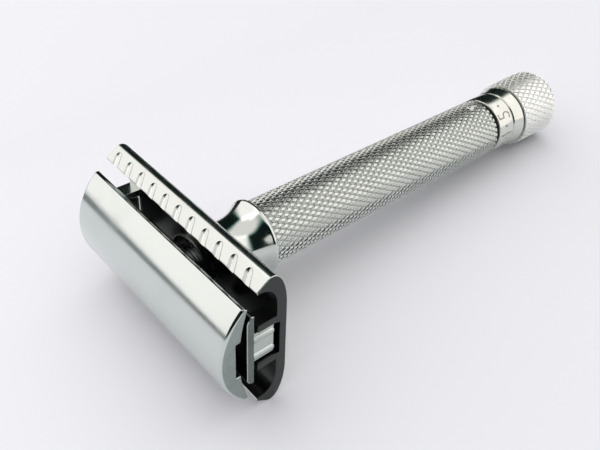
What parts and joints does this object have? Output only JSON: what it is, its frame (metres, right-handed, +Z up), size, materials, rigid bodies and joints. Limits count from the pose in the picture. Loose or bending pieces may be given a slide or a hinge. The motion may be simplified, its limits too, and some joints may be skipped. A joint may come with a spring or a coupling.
{
  "type": "double-edge safety razor",
  "caption": "Adjustable double-edge razor: arched cap, spring-backed blade bed, grooved safety bars, knurled handle, numbered dial and knob.",
  "frame": {"origin": "middle of the blade seat on the handle's axis, at the front face of the blade bed", "axes": "+X along the handle's axis from the head to the knob, +Y along the head's length, +Z up through the safety bar that faces up when the razor lies down"},
  "size_m": [0.1062, 0.043, 0.0266],
  "materials": {
    "polished_chrome": "polished, fine wear",
    "satin_chrome": "bright satin",
    "knurled_chrome": "satin, diamond knurled",
    "dial_chrome": "turned, polished",
    "bright_steel": "bright turned",
    "spring_steel": "dark drawn",
    "brass_parts": "machined",
    "black_rubber": "matt",
    "white_enamel": "gloss infill",
    "grey_enamel": "satin infill"
  },
  "bodies": {
    "handle": {"base_plate": "satin_chrome", "neck_nut": "satin_chrome", "neck_collar": "polished_chrome", "handle_tube": "knurled_chrome", "index_mark": "white_enamel", "bearing_bush": "brass_parts", "thrust_washer": "brass_parts", "gap_seal": "black_rubber", "bed_spring": "spring_steel", "spring_seat": "brass_parts"},
    "bed": {"blade_bed": "satin_chrome", "bed_sleeve": "bright_steel"},
    "cap": {"cap": "polished_chrome", "cap_post": "bright_steel", "cap_lugs": "bright_steel"},
    "knob": {"knob_shell": "knurled_chrome", "lock_screw": "spring_steel", "dial_ring": "dial_chrome", "dial_numerals": "grey_enamel", "dial_dots": "grey_enamel", "draw_nut": "brass_parts", "retaining_ring": "spring_steel"}
  },
  "joints": [
    {"name": "knob_turn", "type": "hinge", "parent": "handle", "child": "knob", "pos_m": [0.09, 0, 0], "axis": [1, 0, 0], "range_deg": [-225, 45]},
    {"name": "bed_slide", "type": "slide", "parent": "handle", "child": "bed", "axis": [1, 0, 0], "range_m": [-0.0002, 0.0005]},
    {"name": "cap_lift", "type": "slide", "parent": "bed", "child": "cap", "axis": [-1, 0, 0], "range_m": [0, 0.095]}
  ],
  "couplings": [
    {"joint": "bed_slide", "follows": "knob_turn", "m_per_rad": -0.0001114}
  ]
}
